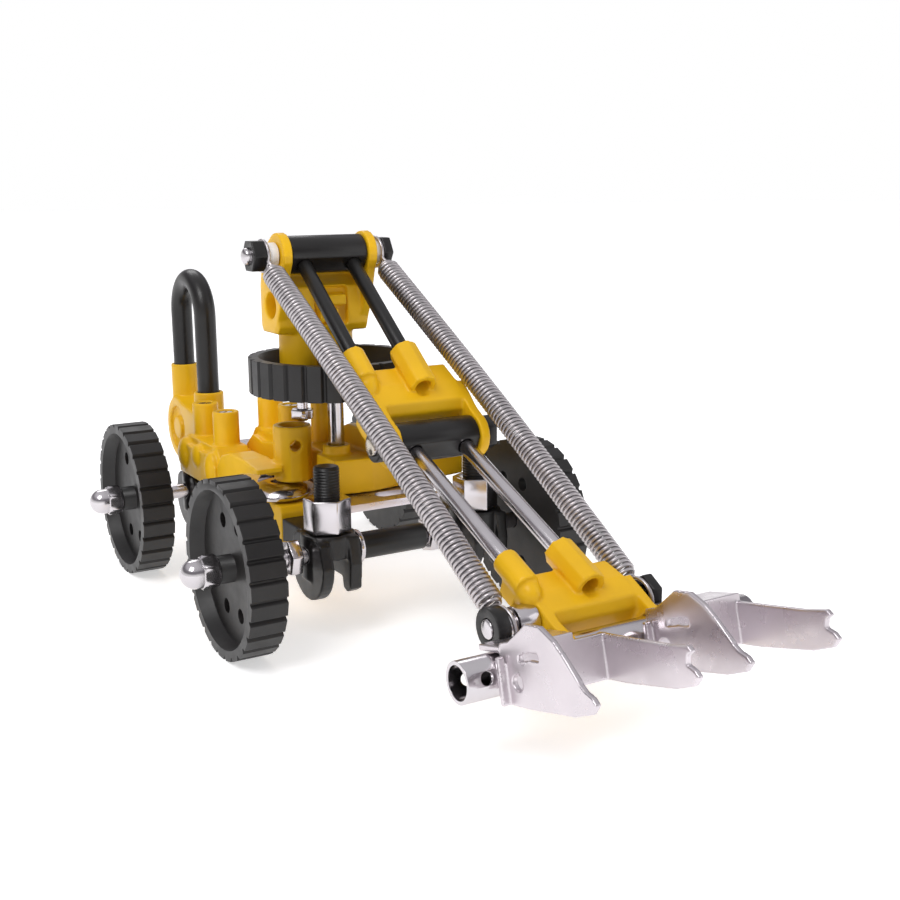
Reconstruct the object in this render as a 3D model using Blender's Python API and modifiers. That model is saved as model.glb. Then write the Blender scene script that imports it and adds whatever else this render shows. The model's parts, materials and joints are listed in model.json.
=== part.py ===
"""Hydraulic arm kit: a four-wheeled construction-toy loader.

Units in this file are millimetres, turned to metres when a mesh is made.
X runs along the wheel axles, the arm points to -Y and Z is up. The ground is
Z = 0, and Y = 0 is the middle of the object's length. Inside the functions
that place things, positions are measured from the front axle (FA).
"""
import math

import bmesh
import bpy
import numpy as np
from mathutils import Matrix, Vector

# ------------------------------------------------------------ dimensions, mm
MM = 0.001
GAP = 0.3                      # running gap between neighbours

WHEEL_R = 21.0                 # outside radius over the lugs
WHEEL_W = 8.6
WHEEL_LUG = 0.9
LUGS = 28
WHEEL_CUP = 5.4                # depth of the open side of the wheel
WHEEL_RIM = 2.1
HUB_R = 3.9
HOLE_X, HOLE_Y = 4.4, 10.4     # the four round holes of the wheel's disc
WHEEL_HOLE_R = 1.8
TRACK = 44.8                   # centre plane to a wheel's outer face
WHEELBASE = 76.4
AXLE_R = 2.0
FA_Y = 0.1                    # front axle's Y in the row frame

STEP_X = 6.3                   # sideways step from one link to the next
BLOCK_W = 25.0                 # width over a knuckle's two cheeks
CHEEK_T = 2.3
BARREL_R = 4.6
ROD_X = 6.55                   # the rod pair's half spacing
PIN_R = 2.0                    # cross bolts
ROD_R = 1.8
SOCKET_N = 6.5                 # sockets above the lobe axis
LOBE_R = 5.2

# joint axes, measured from the front axle, (x, y, z)
TOP = (-6.3, 20.9, 90.2)       # shoulder bolt
ELB = (0.0, -21.2, 50.2)       # elbow bolt
TUB = (6.3, -79.0, 18.6)       # cross tube
SWIVEL = (-6.3, 16.0)          # turntable pin
BLK = (0.022, 0.020, 0.019)

link_a = math.atan2(TOP[2] - ELB[2], TOP[1] - ELB[1])
len_a = math.hypot(TOP[2] - ELB[2], TOP[1] - ELB[1])
RISE_A = link_a - math.asin(SOCKET_N / len_a)      # slope of the black rods
link_b = math.atan2(ELB[2] - TUB[2], ELB[1] - TUB[1])
len_b = math.hypot(ELB[2] - TUB[2], ELB[1] - TUB[1])
RISE_B = link_b - math.asin(SOCKET_N / len_b)      # slope of the chrome rods

# ------------------------------------------------------------------ start
for ob in list(bpy.data.objects):
    bpy.data.objects.remove(ob, do_unlink=True)

parts = bpy.data.collections.new("hydraulic_arm_kit")
cutters = bpy.data.collections.new("cutters")
bpy.context.scene.collection.children.link(parts)
bpy.context.scene.collection.children.link(cutters)

FINISH = {
    "yellow": ((0.86, 0.45, 0.015), 0.38, 0.0),
    "black": (BLK, 0.42, 0.0),
    "chrome": ((0.62, 0.60, 0.61), 0.16, 1.0),
    "nylon": ((0.85, 0.84, 0.82), 0.45, 0.0),
}


def finish(name, kind):
    colour, rough, metal = FINISH[kind]
    m = bpy.data.materials.new(name + "_" + kind)
    m.use_nodes = True
    b = m.node_tree.nodes["Principled BSDF"]
    b.inputs["Base Color"].default_value = (*colour, 1.0)
    b.inputs["Roughness"].default_value = rough
    b.inputs["Metallic"].default_value = metal
    return m


def fa(x, y, z):
    """A point given from the front axle, as a row-frame vector in metres."""
    return Vector((x, y + FA_Y, z)) * MM


def tidy(mesh, angle=32.0):
    mesh.shade_smooth()
    mesh.set_sharp_from_angle(angle=math.radians(angle))
    return mesh


def add(name, mesh, matrix=None, kind="yellow", cutter=False):
    ob = bpy.data.objects.new(name, mesh)
    (cutters if cutter else parts).objects.link(ob)
    if matrix is not None:
        ob.matrix_world = matrix
    if cutter:
        ob.hide_render = True
        ob.display_type = "WIRE"
    else:
        mesh.materials.clear()
        mesh.materials.append(finish(name, kind))
        tidy(mesh)
    return ob


def cyl_mesh(name, r, length, seg=24, r2=None):
    """A closed cylinder or cone along local Z, centred on the origin."""
    me = bpy.data.meshes.new(name)
    bm = bmesh.new()
    bmesh.ops.create_cone(bm, cap_ends=True, segments=seg, radius1=r * MM,
                          radius2=(r if r2 is None else r2) * MM, depth=length * MM)
    bm.to_mesh(me)
    bm.free()
    return me


def box_mesh(name, sx, sy, sz):
    me = bpy.data.meshes.new(name)
    bm = bmesh.new()
    bmesh.ops.create_cube(bm, size=1.0)
    bmesh.ops.scale(bm, vec=(sx * MM, sy * MM, sz * MM), verts=bm.verts)
    bm.to_mesh(me)
    bm.free()
    return me


def plate_mesh(name, outline, thick, holes=(), bevel=0.0):
    """A flat outline in local XY with holes, thick along local Z."""
    cu = bpy.data.curves.new(name + "_outline", "CURVE")
    cu.dimensions = "2D"
    cu.fill_mode = "BOTH"
    cu.extrude = 0.5 * thick * MM
    for loop in [outline, *holes]:
        sp = cu.splines.new("POLY")
        sp.points.add(len(loop) - 1)
        for p, (x, y) in zip(sp.points, loop):
            p.co = (x * MM, y * MM, 0.0, 1.0)
        sp.use_cyclic_u = True
    ob = bpy.data.objects.new(name + "_outline", cu)
    cutters.objects.link(ob)
    dg = bpy.context.evaluated_depsgraph_get()
    me = bpy.data.meshes.new_from_object(ob.evaluated_get(dg))
    bpy.data.objects.remove(ob, do_unlink=True)
    me.name = name
    bm = bmesh.new()
    bm.from_mesh(me)
    bmesh.ops.remove_doubles(bm, verts=bm.verts, dist=2e-6)
    bmesh.ops.recalc_face_normals(bm, faces=bm.faces)
    bm.to_mesh(me)
    bm.free()
    me.materials.clear()
    return me


def turned_mesh(name, profile, seg=24):
    """A turned solid about local Z from (r, z) points, top to bottom."""
    me = bpy.data.meshes.new(name + "_profile")
    bm = bmesh.new()
    vs = [bm.verts.new((r * MM, 0.0, z * MM)) for r, z in profile]
    for a, b in zip(vs, vs[1:]):
        bm.edges.new((a, b))
    if profile[0][0] > 0 and profile[-1][0] > 0:
        bm.edges.new((vs[-1], vs[0]))
    bm.to_mesh(me)
    bm.free()
    ob = bpy.data.objects.new(name + "_profile", me)
    cutters.objects.link(ob)
    sc = ob.modifiers.new("turn", "SCREW")
    sc.axis = "Z"
    sc.steps = seg
    sc.render_steps = seg
    sc.use_merge_vertices = True
    sc.merge_threshold = 0.000001
    dg = bpy.context.evaluated_depsgraph_get()
    out = bpy.data.meshes.new_from_object(ob.evaluated_get(dg))
    bpy.data.objects.remove(ob, do_unlink=True)
    out.name = name
    bm = bmesh.new()
    bm.from_mesh(out)
    bmesh.ops.remove_doubles(bm, verts=bm.verts, dist=1e-6)
    bmesh.ops.recalc_face_normals(bm, faces=bm.faces)
    bm.to_mesh(out)
    bm.free()
    return out


def boolean(ob, other, op="DIFFERENCE"):
    m = ob.modifiers.new(op.lower(), "BOOLEAN")
    m.object = other
    m.operation = op
    m.solver = "EXACT"
    return ob


def axis_x(loc):
    return Matrix.Translation(loc) @ Matrix.Rotation(math.pi / 2, 4, "Y")


def axis_y(loc):
    return Matrix.Translation(loc) @ Matrix.Rotation(math.pi / 2, 4, "X")


def along(p, q):
    """Matrix that lays local Z from p to q, centred between them."""
    d = (q - p).normalized()
    return Matrix.Translation((p + q) / 2) @ d.to_track_quat("Z", "Y").to_matrix().to_4x4()


def link_frame(origin, rise):
    """A link's own frame: local -Y runs out along the arm, +Z is its top."""
    return Matrix.Translation(origin) @ Matrix.Rotation(rise, 4, "X")


def side(frame, x):
    """Lays an outline drawn as (y, z) in a link's frame across X, at x."""
    return frame @ Matrix.Translation((x * MM, 0, 0)) @ Matrix.Rotation(math.pi / 2, 4, "Y") \
        @ Matrix.Rotation(math.pi / 2, 4, "Z")


def circle(cx, cy, r, seg=20, start=0.0):
    return [(cx + r * math.cos(start + 2 * math.pi * i / seg),
             cy + r * math.sin(start + 2 * math.pi * i / seg)) for i in range(seg)]


def arc(cx, cy, r, a0, a1, n):
    return [(cx + r * math.cos(math.radians(a0 + (a1 - a0) * i / n)),
             cy + r * math.sin(math.radians(a0 + (a1 - a0) * i / n))) for i in range(n + 1)]


def hexagon(r, start=0.0):
    return circle(0, 0, r, 6, start)


def cut_cyl(ob, name, r, length, matrix, seg=20):
    return boolean(ob, add(name, cyl_mesh(name, r, length, seg), matrix, cutter=True))


def join_cyl(ob, name, r, length, matrix, seg=20):
    return boolean(ob, add(name, cyl_mesh(name, r, length, seg), matrix, cutter=True), "UNION")


def join_plate(ob, name, outline, thick, matrix, holes=()):
    return boolean(ob, add(name, plate_mesh(name, outline, thick, holes), matrix, cutter=True), "UNION")


# ------------------------------------------------------------------ wheels
def wheel_outline():
    """Lugs all round; one lug's flat faces straight down."""
    pts = []
    step = 2 * math.pi / LUGS
    ro, ri = WHEEL_R / math.cos(0.35 * step), WHEEL_R - WHEEL_LUG
    for i in range(LUGS):
        a = i * step
        pts += [(ri * math.cos(a - 0.45 * step), ri * math.sin(a - 0.45 * step)),
                (ro * math.cos(a - 0.35 * step), ro * math.sin(a - 0.35 * step)),
                (ro * math.cos(a + 0.35 * step), ro * math.sin(a + 0.35 * step)),
                (ri * math.cos(a + 0.45 * step), ri * math.sin(a + 0.45 * step))]
    return pts


def wheel(name, matrix, bore=AXLE_R + 0.1):
    """A drum wheel: local +Z is its open, outer side."""
    w = add(name, plate_mesh(name, wheel_outline(), WHEEL_W), matrix, "black")
    cup = turned_mesh(name + "_cup", [
        (HUB_R, WHEEL_CUP), (WHEEL_R - WHEEL_RIM - WHEEL_LUG + 0.6, WHEEL_CUP),
        (WHEEL_R - WHEEL_RIM - WHEEL_LUG, 0.0), (HUB_R, 0.0)], 40)
    top = matrix @ Matrix.Translation((0, 0, (WHEEL_W / 2 - WHEEL_CUP + 0.02) * MM))
    boolean(w, add(name + "_cup", cup, top, cutter=True))
    cut_cyl(w, name + "_bore", bore, 3 * WHEEL_W, matrix, 16)
    for i, (sx, sy) in enumerate(((1, 1), (1, -1), (-1, 1), (-1, -1))):
        m = matrix @ Matrix.Translation((sx * HOLE_X * MM, sy * HOLE_Y * MM, 0))
        cut_cyl(w, "%s_hole%d" % (name, i), WHEEL_HOLE_R, 3 * WHEEL_W, m, 12)
    return w


def acorn(name, matrix):
    """Hex flats below, dome above, local +Z out."""
    a = add(name, plate_mesh(name, hexagon(4.1), 3.6), matrix @ Matrix.Translation((0, 0, 1.8 * MM)), "chrome")
    dome = turned_mesh(name + "_dome", [(0.0, 8.4)] + [
        (3.4 * math.sin(math.radians(t)), 5.0 + 3.4 * math.cos(math.radians(t))) for t in range(15, 91, 15)]
        + [(3.4, 2.4), (0.0, 2.4)], 20)
    boolean(a, add(name + "_dome", dome, matrix, cutter=True), "UNION")
    cut_cyl(a, name + "_bore", AXLE_R + 0.1, 10.4, matrix, 16)
    return a


def ring(name, r_out, r_in, length, matrix, kind, seg=24):
    m = turned_mesh(name, [(r_out, length / 2), (r_out, -length / 2), (r_in, -length / 2), (r_in, length / 2)], seg)
    return add(name, m, matrix, kind)


def hex_nut(name, corner_r, r_in, length, matrix, kind="chrome", start=0.0):
    return add(name, plate_mesh(name, hexagon(corner_r, start), length, [circle(0, 0, r_in, 16)]), matrix, kind)


def wheel_set(tag, y):
    axle_y = y
    for sgn, s in ((-1, "left"), (1, "right")):
        x = sgn * (TRACK - WHEEL_W / 2)
        rot = Matrix.Rotation(math.pi / 2 * sgn, 4, "Y")
        wheel("wheel_%s_%s" % (tag, s), Matrix.Translation(fa(x, axle_y, WHEEL_R)) @ rot @ Matrix.Rotation(math.pi / 2, 4, "Z"))
        nx = sgn * (TRACK + GAP)
        acorn("acorn_nut_%s_%s" % (tag, s), Matrix.Translation(fa(nx, axle_y, WHEEL_R)) @ rot)
    half = TRACK + GAP + 4.8
    add("axle_%s" % tag, cyl_mesh("axle_" + tag, AXLE_R, 2 * half, 16), axis_x(fa(0, axle_y, WHEEL_R)), "chrome")


wheel_set("front", 0.0)
wheel_set("rear", WHEELBASE)


# ------------------------------------------------------------------ knuckle
def knuckle(name, frame, pin_r, rear_hole=None):
    """The yellow link end: two cheeks with a lobe each, a wedge-topped body,
    one socket that runs over the top, and one that ends in the left cheek.
    Outlines are (y, z) in the link's frame, the lobe axis at the origin."""
    half = BLOCK_W / 2
    body = [(18.8, 4.7), (12.6, 5.6), (7.4, 4.9), (6.0, 2.6), (6.2, -4.0), (9.0, -6.2), (12.6, -6.2), (16.4, -2.6), (18.8, 2.4)]
    k = add(name, plate_mesh(name, body, BLOCK_W - 2 * CHEEK_T + 0.4), side(frame, 0), "yellow")
    cheek = [(13.2, 3.4), (12.6, 5.2), (8.5, 5.0), (4.4, 4.6)] + arc(0, 0, LOBE_R, 68, 270, 11) \
        + [(6.0, -5.9), (9.0, -6.6), (12.6, -6.6), (13.2, -4.6)]
    for sgn, s in ((-1, "l"), (1, "r")):
        join_plate(k, "%s_cheek_%s" % (name, s), cheek, CHEEK_T, side(frame, sgn * (half - CHEEK_T / 2)))
    for s, x, y0, y1, r, seg in (("long", ROD_X - STEP_X, 22.4, 10.2, 3.5, 8),
                                 ("short", -ROD_X - STEP_X, 22.4, 13.7, 2.8, 20)):
        p = frame @ Vector((x * MM, y0 * MM, SOCKET_N * MM))
        q = frame @ Vector((x * MM, y1 * MM, SOCKET_N * MM))
        join_cyl(k, "%s_socket_%s" % (name, s), r, (p - q).length / MM, along(q, p), seg)
    # the short socket's foot runs down into the left cheek
    foot = frame @ Matrix.Translation(((-ROD_X - STEP_X + 0.2) * MM, 16.4 * MM, 3.9 * MM))
    boolean(k, add(name + "_foot", box_mesh(name + "_foot", 5.0, 5.0, 5.2), foot, cutter=True), "UNION")
    for s, x, y0, y1 in (("long", ROD_X - STEP_X, 24.0, 9.0), ("short", -ROD_X - STEP_X, 24.0, 14.0)):
        p = frame @ Vector((x * MM, y0 * MM, SOCKET_N * MM))
        q = frame @ Vector((x * MM, y1 * MM, SOCKET_N * MM))
        cut_cyl(k, "%s_rodhole_%s" % (name, s), ROD_R + 0.1, (p - q).length / MM, along(q, p), 16)
    cut_cyl(k, name + "_lobe_hole", pin_r, BLOCK_W + 10, frame @ Matrix.Rotation(math.pi / 2, 4, "Y"), 24)
    if rear_hole:
        m = frame @ Matrix.Translation((0, rear_hole[0] * MM, rear_hole[1] * MM)) @ Matrix.Rotation(math.pi / 2, 4, "Y")
        cut_cyl(k, name + "_rear_hole", PIN_R + 0.1, BLOCK_W + 10, m, 16)
    return k


def barrel(name, frame, kind="black"):
    """The cross barrel between two cheeks, flat where its rods screw in."""
    length = BLOCK_W - 2 * CHEEK_T - 2 * GAP
    b = add(name, cyl_mesh(name, BARREL_R, length, 32), frame @ Matrix.Rotation(math.pi / 2, 4, "Y"), kind)
    flat = frame @ Matrix.Translation((0, -(0.89 * BARREL_R + 5) * MM, 0))
    boolean(b, add(name + "_flat", box_mesh(name + "_flat", length + 4, 10, 20), flat, cutter=True))
    cut_cyl(b, name + "_bore", PIN_R + 0.1, length + 6, frame @ Matrix.Rotation(math.pi / 2, 4, "Y"), 16)
    for sgn, s in ((-1, "l"), (1, "r")):
        p = frame @ Vector((sgn * ROD_X * MM, -2.9 * MM, 0))
        q = frame @ Vector((sgn * ROD_X * MM, -9.0 * MM, 0))
        cut_cyl(b, "%s_tap_%s" % (name, s), ROD_R + 0.1, 6.1, along(q, p), 16)
    return b


def rod(name, frame, x, y0, y1, z, kind):
    p = frame @ Vector((x * MM, y0 * MM, z * MM))
    q = frame @ Vector((x * MM, y1 * MM, z * MM))
    return add(name, cyl_mesh(name, ROD_R, (p - q).length / MM, 16), along(p, q), kind)


def bolt(name, centre, x0, x1, r=PIN_R, kind="chrome"):
    c = fa(0, centre[1], centre[2])
    p, q = c + Vector((x0 * MM, 0, 0)), c + Vector((x1 * MM, 0, 0))
    return add(name, cyl_mesh(name, r, x1 - x0, 16), along(p, q), kind)


# -------------------------------------------------------- shoulder and boom
half = BLOCK_W / 2
top = fa(*TOP)
elb = fa(*ELB)
tub = fa(*TUB)
boom = link_frame(elb, RISE_A)
stick = link_frame(tub, RISE_B)

barrel("shoulder_barrel", link_frame(top, RISE_A))
run_a = math.sqrt(len_a ** 2 - SOCKET_N ** 2)
for s, sgn in (("left", -1), ("right", 1)):
    rod("boom_rod_" + s, link_frame(top, RISE_A), sgn * ROD_X, -3.2, -(run_a - 15.2), 0.0, "black")
knuckle("boom_block", boom, PIN_R + 0.1)
barrel("elbow_barrel", link_frame(elb, RISE_B))
run_b = math.sqrt(len_b ** 2 - SOCKET_N ** 2)
for s, sgn in (("left", -1), ("right", 1)):
    rod("stick_rod_" + s, link_frame(elb, RISE_B), sgn * ROD_X, -3.2, -(run_b - 15.2), 0.0, "chrome")
REAR_HOLE = (9.9, 1.4)
knuckle("stick_block", stick, 4.4, REAR_HOLE)

# elbow bolt, its flanged head on the left and its nut on the right
bolt("elbow_bolt", ELB, -half - 3.4, half + 2.8)
ring("elbow_washer", 3.6, PIN_R + 0.1, 2.4, axis_x(fa(ELB[0] - half - 0.3 - 1.2, ELB[1], ELB[2])), "black", 24)
hex_nut("elbow_nut", 4.2, PIN_R + 0.1, 2.4, axis_x(fa(ELB[0] + half + 0.3 + 1.2, ELB[1], ELB[2])), "black")

# --------------------------------------------------------------- cross tube
TUBE_R, TUBE_T, TUBE_HALF = 4.1, 0.8, 35.0
t = ring("cross_tube", TUBE_R, TUBE_R - TUBE_T, 2 * TUBE_HALF, axis_x(tub), "chrome", 28)
for sgn, s in ((-1, "l"), (1, "r")):
    cut_cyl(t, "tube_hole_" + s, 1.3, 20, Matrix.Translation(tub) @ Matrix.Rotation(math.radians(-20), 4, "X")
            @ Matrix.Translation((sgn * 31.0 * MM, 0, 0)) @ Matrix.Rotation(math.pi / 2, 4, "X"), 14)

# ------------------------------------------------------------ front hook bolt
hook = stick @ Vector((0, REAR_HOLE[0] * MM, REAR_HOLE[1] * MM))
hy, hz = hook.y / MM - FA_Y, hook.z / MM
hx = TUB[0]
bolt("hook_bolt", (hx, hy, hz), hx - half - 10.6, hx + half + 4.6)
ring("hook_collar_left", 3.4, PIN_R + 0.1, 4.6, axis_x(fa(hx - half - 0.3 - 2.3, hy, hz)), "chrome", 20)
ring("hook_cap_left", 4.3, PIN_R + 0.1, 3.0, axis_x(fa(hx - half - 9.1, hy, hz)), "black", 24)
hex_nut("hook_nut_right", 4.3, PIN_R + 0.1, 2.3, axis_x(fa(hx + half + 3.4, hy, hz)), "black")

# ------------------------------------------------------------- turret block
TT_Z = 65.8                    # turntable's open rim
TY0, TY1 = 4.5, 17.5
tw = 13.2
turret_frame = Matrix.Translation(top)
tb = add("turret_block", plate_mesh("turret_block", [
    (1.2, -19.4), (0.2, -17.6), (0.6, -8.2), (2.6, -6.8), (5.6, -5.4), (6.3, -2.0), (6.3, 1.0), (8.6, 1.0), (10.6, -4.4),
    (11.6, -8.0), (11.6, -17.6), (10.6, -19.4)],
    2 * tw - 2.0), side(turret_frame, 0), "yellow")
ear = [(2.4, -19.0), (0.6, -16.6), (-1.6, -12.0), (-3.9, -4.0)] + arc(0, 0, 5.4, 200, 60, 8) + \
    [(6.6, 2.0), (9.6, -5.0), (10.2, -16.0), (8.8, -19.0)]
for sgn, s in ((-1, "l"), (1, "r")):
    join_plate(tb, "turret_cheek_" + s, ear, CHEEK_T, side(turret_frame, sgn * (half - CHEEK_T / 2)))
COL_Y = SWIVEL[1] + HOLE_Y - TOP[1]                # column over the rear stud holes
COL_Z1 = TT_Z - WHEEL_CUP + GAP - TOP[2]           # its foot, on the turntable's disc
for sgn, s in ((-1, "l"), (1, "r")):
    join_cyl(tb, "turret_column_" + s, 4.7, -17.8 - COL_Z1, Matrix.Translation(
        top + Vector((sgn * 5.1 * MM, COL_Y * MM, (COL_Z1 - 17.8) / 2 * MM))), 24)
cut_cyl(tb, "turret_pin_hole", PIN_R + 0.1, 60, axis_x(top), 16)
cut_cyl(tb, "turret_ear_hole", 3.3, 60, axis_x(top + Vector((0, 4.6 * MM, -12.4 * MM))), 20)
bx = add("turret_recess", box_mesh("turret_recess", 9.0, 5.0, 9.4), Matrix.Translation(
    top + Vector((2.2 * MM, 1.6 * MM, -12.9 * MM))), cutter=True)
boolean(tb, bx)
for sgn, s in ((-1, "l"), (1, "r")):
    cut_cyl(tb, "turret_stud_hole_" + s, 1.5, 14, Matrix.Translation(
        top + Vector((sgn * HOLE_X * MM, COL_Y * MM, -27.0 * MM))), 14)

# shoulder bolt with its collars and nuts, in the turret's cheeks
bolt("shoulder_bolt", TOP, TOP[0] - half - 7.6, TOP[0] + half + 5.4)
for sgn, s in ((-1, "left"), (1, "right")):
    w = 3.0 if sgn < 0 else 2.2
    x = TOP[0] + sgn * (half + 0.3 + w / 2)
    ring("shoulder_collar_" + s, 3.1, PIN_R + 0.1, w, axis_x(fa(x, TOP[1], TOP[2])), "nylon", 20)
    n = 3.4 if sgn < 0 else 2.4
    x = TOP[0] + sgn * (half + 0.6 + w + n / 2)
    hex_nut("shoulder_nut_" + s, 4.1, PIN_R + 0.1, n, axis_x(fa(x, TOP[1], TOP[2])), "black", start=math.pi / 6)

# ---------------------------------------------------------------- turntable
tt = wheel("turntable", Matrix.Translation(fa(SWIVEL[0], SWIVEL[1], TT_Z - WHEEL_W / 2)), bore=AXLE_R + 0.1)

# turntable pin and the turret's two studs
p, q = fa(SWIVEL[0], SWIVEL[1], 29.1), fa(SWIVEL[0], SWIVEL[1], TT_Z + 0.2)
pin_l = (q - p).length / MM
flange = TT_Z - WHEEL_W - GAP - 29.1               # top of the flange that carries the turntable
add("turntable_pin", turned_mesh("turntable_pin", [
    (0.0, pin_l), (PIN_R, pin_l), (PIN_R, flange), (3.6, flange), (3.6, flange - 1.2), (PIN_R, flange - 1.2), (PIN_R, 0.0), (0.0, 0.0)],
    20), Matrix.Translation(p), "chrome")
for sgn, s in ((-1, "left"), (1, "right")):
    x, y = SWIVEL[0] + sgn * HOLE_X, SWIVEL[1] + HOLE_Y
    p, q = fa(x, y, 48.0), fa(x, y, 69.8)
    add("turret_stud_" + s, cyl_mesh("turret_stud_" + s, 1.35, (q - p).length / MM, 12), along(p, q), "chrome")
hex_nut("turret_stud_nut", 3.1, 1.45, 2.4, Matrix.Translation(fa(SWIVEL[0] - HOLE_X, SWIVEL[1] + HOLE_Y, 49.8)))

# ------------------------------------------------------------------ springs
SPRING_R = 2.4
for s, x0, x1 in (("left", TOP[0] - half - 3.8, hx - half - 6.6), ("right", TOP[0] + half + 1.5, hx + half + 1.6)):
    p0, p3 = fa(x0, TOP[1], TOP[2]), fa(x1, hy, hz)
    d = (p3 - p0).normalized()
    up = d.cross(Vector((1, 0, 0))).normalized()
    if up.z < 0:
        up = -up
    cu = bpy.data.curves.new("spring_" + s, "CURVE")
    cu.dimensions = "3D"
    cu.bevel_depth = SPRING_R * MM
    cu.bevel_resolution = 3
    cu.use_fill_caps = True
    sp = cu.splines.new("POLY")
    total = (p3 - p0).length
    stations = [6.0 * MM + (total - 10.8 * MM) * k / 12 for k in range(13)]
    sp.points.add(len(stations) - 1)
    for pt, a in zip(sp.points, stations):
        f = a / total
        bow = 1.0 * MM * math.sin(math.pi * f)
        pt.co = (*(p0 + d * a + up * bow), 1.0)
    ob = bpy.data.objects.new("spring_%s_path" % s, cu)
    cutters.objects.link(ob)
    me = bpy.data.meshes.new_from_object(ob.evaluated_get(bpy.context.evaluated_depsgraph_get()))
    bpy.data.objects.remove(ob, do_unlink=True)
    bm = bmesh.new()
    bm.from_mesh(me)
    bmesh.ops.remove_doubles(bm, verts=bm.verts, dist=2e-6)
    bmesh.ops.recalc_face_normals(bm, faces=bm.faces)
    bm.to_mesh(me)
    bm.free()
    add("spring_" + s, me, None, "chrome")

# -------------------------------------------------------------- fork brackets
FORK_TILT = math.radians(14.0)
PRONG_T = 1.2
PRONG_IN, PRONG_OUT = 6.0, 27.8        # prongs either side of the tube's middle
fork = link_frame(tub, -FORK_TILT)
low_prong = [(-4.9, 4.2), (-4.9, -4.6), (-12.0, -4.8), (-26.0, -4.4), (-31.0, -3.4), (-32.6, -1.8), (-31.6, -0.6),
             (-29.8, 0.2), (-30.2, 1.8), (-31.4, 2.6), (-30.4, 3.6), (-25.0, 3.4), (-14.0, 3.8)]
tall_prong = [(-4.9, 6.6), (-4.9, -4.6), (-12.0, -4.8), (-26.0, -4.4), (-31.0, -3.4), (-32.6, -1.8), (-31.6, -0.6),
              (-29.8, 0.2), (-28.4, 1.4), (-24.4, 2.6), (-22.4, 5.2), (-18.6, 8.4), (-13.4, 10.4), (-8.4, 10.6), (-5.4, 8.8)]
slot_hole = [(-11.0, 4.4), (-17.4, 3.4), (-17.4, 4.6), (-11.2, 5.8)]
for side_name, x_tall, x_low in (("left", -PRONG_OUT, -PRONG_IN), ("right", PRONG_IN, PRONG_OUT)):
    name = "fork_bracket_" + side_name
    b = add(name, plate_mesh(name, tall_prong, PRONG_T, [slot_hole]), side(fork, x_tall), "chrome")
    join_plate(b, name + "_low", low_prong, PRONG_T, side(fork, x_low))
    # front web across the two prongs, with a tab outside the tall one
    mid, wide = (x_tall + x_low - 1.6) / 2, x_low - x_tall + 1.6 + PRONG_T
    web = add(name + "_web", box_mesh(name + "_web", wide, PRONG_T, 8.8),
              fork @ Matrix.Translation((mid * MM, -6.3 * MM, -0.2 * MM)), cutter=True)
    boolean(b, web, "UNION")
    # lip over the tube, outside the stick block's cheeks
    inner = half + 0.7
    lip_x0, lip_x1 = (x_tall - 0.6, -inner) if x_tall < 0 else (inner, x_low + PRONG_T / 2)
    lip = add(name + "_lip", box_mesh(name + "_lip", lip_x1 - lip_x0, 9.0, PRONG_T),
              fork @ Matrix.Translation(((lip_x0 + lip_x1) / 2 * MM, -2.4 * MM, 5.1 * MM)), cutter=True)
    boolean(b, lip, "UNION")
    join = add(name + "_joint", box_mesh(name + "_joint", lip_x1 - lip_x0, PRONG_T, 3.4),
               fork @ Matrix.Translation(((lip_x0 + lip_x1) / 2 * MM, -6.3 * MM, 4.0 * MM)), cutter=True)
    boolean(b, join, "UNION")
    m = fork @ Matrix.Translation((x_tall * MM, -9.8 * MM, -0.2 * MM)) @ Matrix.Rotation(math.pi / 2, 4, "Y")
    cut_cyl(b, name + "_root_hole", 1.6, 6.0, m, 16)

# ------------------------------------------------------------------- chassis
CLEVIS = ((-16.8, 0.0, "front_left"), (24.6, 0.0, "front_right"), (-20.0, WHEELBASE, "rear_left"), (6.5, WHEELBASE, "rear_right"))
STUD_R, CLEVIS_TOP = 3.0, 26.0
for cx, cy, s in CLEVIS:
    name = "clevis_" + s
    rear = s.startswith("rear")
    back = -1 if rear else 1
    c = add(name, cyl_mesh(name, 6.5, CLEVIS_TOP - 15.0, 28), Matrix.Translation(fa(cx, cy, (CLEVIS_TOP + 15.0) / 2)), "black")
    base = Matrix.Translation(fa(0, cy, 0))
    eye = arc(0, 19.4, 9.4, 180, 360, 16) + [(7.4, CLEVIS_TOP - 1.4), (5.6, CLEVIS_TOP - 0.4), (-5.6, CLEVIS_TOP - 0.4), (-7.4, CLEVIS_TOP - 1.4)]
    hook_plate = [(-6.4, CLEVIS_TOP - 0.4), (-7.6, 19.0), (-7.0, 13.0), (-4.6, 11.6), (-2.6, 12.4), (-2.2, 16.2),
                  (1.4, 17.6), (6.6, 17.0), (7.0, 20.0), (6.4, CLEVIS_TOP - 0.4)]
    join_plate(c, name + "_eye", eye, 3.0, side(base, cx - 4.2))
    join_plate(c, name + "_hook", hook_plate, 3.0, side(base, cx + 3.8))
    tail = add(name + "_tail", box_mesh(name + "_tail", 9.6, 11.0, 7.0),
               Matrix.Translation(fa(cx, cy + back * 11.0, CLEVIS_TOP - 3.5)), cutter=True)
    boolean(c, tail, "UNION")
    slot_box = add(name + "_slot", box_mesh(name + "_slot", 5.0, 30, 12.0),
                   Matrix.Translation(fa(cx - 0.2, cy, 14.4)), cutter=True)
    boolean(c, slot_box)
    cut_cyl(c, name + "_axle_hole", AXLE_R + 0.1, 30, axis_x(fa(cx, cy, WHEEL_R)), 16)
    top_z = 36.0 if rear else 42.0
    join_cyl(c, name + "_stud", STUD_R, top_z - CLEVIS_TOP + 1.0, Matrix.Translation(fa(cx, cy, (top_z + CLEVIS_TOP - 1.0) / 2)), 20)
    if not rear:
        hex_nut("clevis_nut_" + s, 5.75, STUD_R + 0.1, 8.0,
                Matrix.Translation(fa(cx, cy, CLEVIS_TOP + GAP + 4.0)), start=math.pi / 6)

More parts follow.
